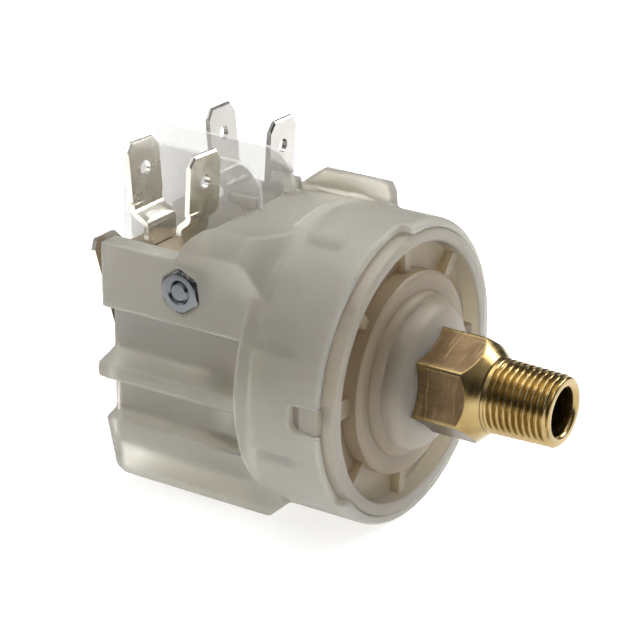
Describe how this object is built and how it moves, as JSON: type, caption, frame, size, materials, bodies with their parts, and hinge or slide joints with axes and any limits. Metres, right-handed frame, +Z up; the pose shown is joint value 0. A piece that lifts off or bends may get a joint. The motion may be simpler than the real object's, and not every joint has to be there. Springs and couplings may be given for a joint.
{
  "type": "pressure switch",
  "caption": "Diaphragm pressure switch: translucent plastic drum and switch block, brass hex fitting with pipe thread, snap switches with push-on blade tabs and an insulating barrier.",
  "frame": {"origin": "root of the pipe thread, on its axis", "axes": "+X along the thread towards its open tip, +Z up towards the blade tabs, -Y the side with the clamp nut"},
  "size_m": [0.0683, 0.0428, 0.05],
  "materials": {
    "housing": "translucent natural moulding, satin",
    "front_cap": "translucent natural moulding, satin",
    "fitting": "turned brass",
    "diaphragm": "matt",
    "support_ring": "zinc plated",
    "piston": "white acetal",
    "range_spring": "spring steel wire",
    "spring_seat": "turned",
    "adjusting_screw": "zinc plated",
    "terminal_barrier": "thin translucent sheet",
    "clamp_screw": "bright zinc",
    "clamp_nut": "bright zinc",
    "case_near": "brown thermoset",
    "cover_near": "brown thermoset",
    "terminal_front_near": "nickel-plated brass strip",
    "terminal_rear_near": "nickel-plated brass strip",
    "terminal_common_near": "nickel-plated brass strip",
    "blade_near": "copper alloy spring strip",
    "plunger_near": "red acetal",
    "case_far": "brown thermoset",
    "cover_far": "brown thermoset",
    "terminal_front_far": "nickel-plated brass strip",
    "terminal_rear_far": "nickel-plated brass strip",
    "terminal_common_far": "nickel-plated brass strip",
    "blade_far": "copper alloy spring strip",
    "plunger_far": "red acetal"
  },
  "bodies": {
    "base": {"housing": "housing", "front_cap": "front_cap", "fitting": "fitting", "diaphragm": "diaphragm", "support_ring": "support_ring", "range_spring": "range_spring", "terminal_barrier": "terminal_barrier", "clamp_screw": "clamp_screw", "clamp_nut": "clamp_nut", "case_near": "case_near", "cover_near": "cover_near", "terminal_front_near": "terminal_front_near", "terminal_rear_near": "terminal_rear_near", "terminal_common_near": "terminal_common_near", "case_far": "case_far", "cover_far": "cover_far", "terminal_front_far": "terminal_front_far", "terminal_rear_far": "terminal_rear_far", "terminal_common_far": "terminal_common_far"},
    "piston_body": {"piston": "piston"},
    "plunger_near_body": {"plunger_near": "plunger_near"},
    "plunger_far_body": {"plunger_far": "plunger_far"},
    "blade_near_body": {"blade_near": "blade_near"},
    "blade_far_body": {"blade_far": "blade_far"},
    "adjusting_screw_body": {"adjusting_screw": "adjusting_screw"},
    "spring_seat_body": {"spring_seat": "spring_seat"}
  },
  "joints": [
    {"name": "piston_slide", "type": "slide", "parent": "base", "child": "piston_body", "axis": [-1, 0, 0], "range_m": [0, 0.0012], "stiffness_N_per_m": 3000, "springref_m": -0.002, "deforming": ["range_spring", "diaphragm"]},
    {"name": "plunger_near_slide", "type": "slide", "parent": "base", "child": "plunger_near_body", "axis": [-1, 0, 0], "range_m": [0, 0.0012], "stiffness_N_per_m": 300, "springref_m": -0.001},
    {"name": "blade_near_hinge", "type": "hinge", "parent": "base", "child": "blade_near_body", "pos_m": [-0.04412, -0.0089, -0.0059], "axis": [0, -1, 0], "range_deg": [0, 4.2], "stiffness_Nm_per_rad": 0.005, "springref_deg": -1.15},
    {"name": "plunger_far_slide", "type": "slide", "parent": "base", "child": "plunger_far_body", "axis": [-1, 0, 0], "range_m": [0, 0.0012], "stiffness_N_per_m": 300, "springref_m": -0.001},
    {"name": "blade_far_hinge", "type": "hinge", "parent": "base", "child": "blade_far_body", "pos_m": [-0.04412, 0.0089, -0.0059], "axis": [0, -1, 0], "range_deg": [0, 4.2], "stiffness_Nm_per_rad": 0.005, "springref_deg": -1.15},
    {"name": "spring_seat_slide", "type": "slide", "parent": "base", "child": "spring_seat_body", "axis": [1, 0, 0], "range_m": [-0.0014, 0.0014], "deforming": ["range_spring"]},
    {"name": "adjuster_turn", "type": "hinge", "parent": "base", "child": "adjusting_screw_body", "pos_m": [-0.042, 0, 0], "axis": [1, 0, 0], "range_deg": [-720, 720]}
  ],
  "couplings": [
    {"joint": "plunger_near_slide", "follows": "piston_slide", "ratio": 1},
    {"joint": "blade_near_hinge", "follows": "piston_slide", "rad_per_m": 61},
    {"joint": "plunger_far_slide", "follows": "piston_slide", "ratio": 1},
    {"joint": "blade_far_hinge", "follows": "piston_slide", "rad_per_m": 61},
    {"joint": "adjuster_turn", "follows": "spring_seat_slide", "rad_per_m": 8976}
  ]
}
